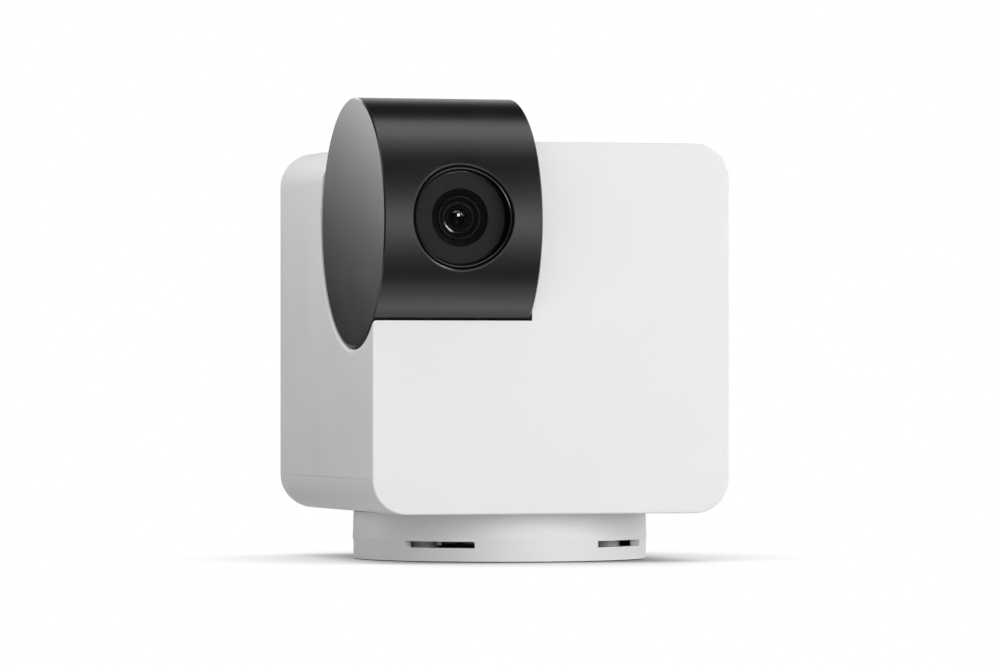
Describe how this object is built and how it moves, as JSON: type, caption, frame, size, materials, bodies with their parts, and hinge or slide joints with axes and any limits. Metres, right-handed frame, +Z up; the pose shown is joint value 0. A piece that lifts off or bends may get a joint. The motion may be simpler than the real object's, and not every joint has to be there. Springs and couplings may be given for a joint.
{
  "type": "pan and tilt pet camera",
  "caption": "White rounded box camera that turns on a low round base, with a black lens drum that tilts in a round pocket in its upper front corner.",
  "frame": {"origin": "on the pan axis, in the plane of the foot pad that rests on the table", "axes": "+Z up along the pan axis, -Y the way the lens looks at rest, -X the drum's side"},
  "size_m": [0.068, 0.0832, 0.0853],
  "materials": {
    "white_shell": "fine satin moulded plastic",
    "white_base": "fine satin moulded plastic",
    "black_drum": "black satin moulded plastic",
    "rubber": "matt non-slip rubber",
    "steel": "plain plated steel",
    "motor_can": "drawn steel can",
    "acetal": "natural acetal",
    "circuit_board": "green solder mask",
    "dark_plastic": "matt black plastic",
    "window_glass": "clear polished window",
    "window_grey": "dark grey print behind the window",
    "lens_glass": "coated lens glass",
    "lamp_clear": "clear lamp bodies"
  },
  "bodies": {
    "base": {"foot_pad": "rubber", "base_tray": "white_base", "base_top": "white_base", "base_screws": "steel", "speaker": "dark_plastic", "counterweight": "steel", "pan_gear": "acetal", "pan_gear_screws": "steel", "pan_washer": "acetal"},
    "housing": {"main_shell": "white_shell", "bottom_cover": "white_shell", "cover_screws": "steel", "pan_motor": "motor_can", "pan_motor_screws": "steel", "tilt_motor": "motor_can", "tilt_motor_screws": "steel", "tilt_bush": "acetal", "main_board": "circuit_board", "board_screws": "steel", "usb_port": "steel", "reset_switch": "dark_plastic", "microphone": "dark_plastic", "shield_can": "steel", "processor": "dark_plastic", "wire_sockets": "acetal", "antenna": "dark_plastic"},
    "pan_drive": {"pan_pinion": "acetal", "pan_motor_shaft": "steel"},
    "tilt_drive": {"tilt_pinion": "acetal", "tilt_motor_shaft": "steel"},
    "button": {"reset_button": "white_shell"},
    "drum": {"drum_shell": "black_drum", "side_cap": "black_drum", "drive_cap": "black_drum", "drum_screws": "steel", "tilt_gear": "acetal", "shaft_clip": "steel", "lens_bezel": "black_drum", "cover_glass": "window_glass", "window_ring": "window_grey", "lens_barrel": "dark_plastic", "front_lens": "lens_glass", "lens_holder": "dark_plastic", "image_sensor": "dark_plastic", "sensor_board": "circuit_board", "sensor_screws": "steel", "ir_board": "circuit_board", "ir_lamps": "lamp_clear"}
  },
  "joints": [
    {"name": "pan", "type": "hinge", "parent": "base", "child": "housing", "pos_m": [0, 0, 0.03852], "axis": [0, 0, 1], "range_deg": [-175, 175]},
    {"name": "tilt", "type": "hinge", "parent": "housing", "child": "drum", "pos_m": [-0.019, -0.0204, 0.06245], "axis": [-1, 0, 0], "range_deg": [-25, 90]},
    {"name": "pan_pinion_spin", "type": "hinge", "parent": "housing", "child": "pan_drive", "pos_m": [0, 0.015, 0.0116], "axis": [0, 0, 1], "range_deg": [-700, 700]},
    {"name": "tilt_pinion_spin", "type": "hinge", "parent": "housing", "child": "tilt_drive", "pos_m": [0.0062, -0.01044, 0.05409], "axis": [-1, 0, 0], "range_deg": [-300, 84]},
    {"name": "reset_press", "type": "slide", "parent": "housing", "child": "button", "axis": [0, -1, 0], "range_m": [0, 0.0006], "stiffness_N_per_m": 400, "springref_m": -0.0005}
  ],
  "couplings": [
    {"joint": "pan_pinion_spin", "follows": "pan", "ratio": 4},
    {"joint": "tilt_pinion_spin", "follows": "tilt", "ratio": -3.3333}
  ]
}
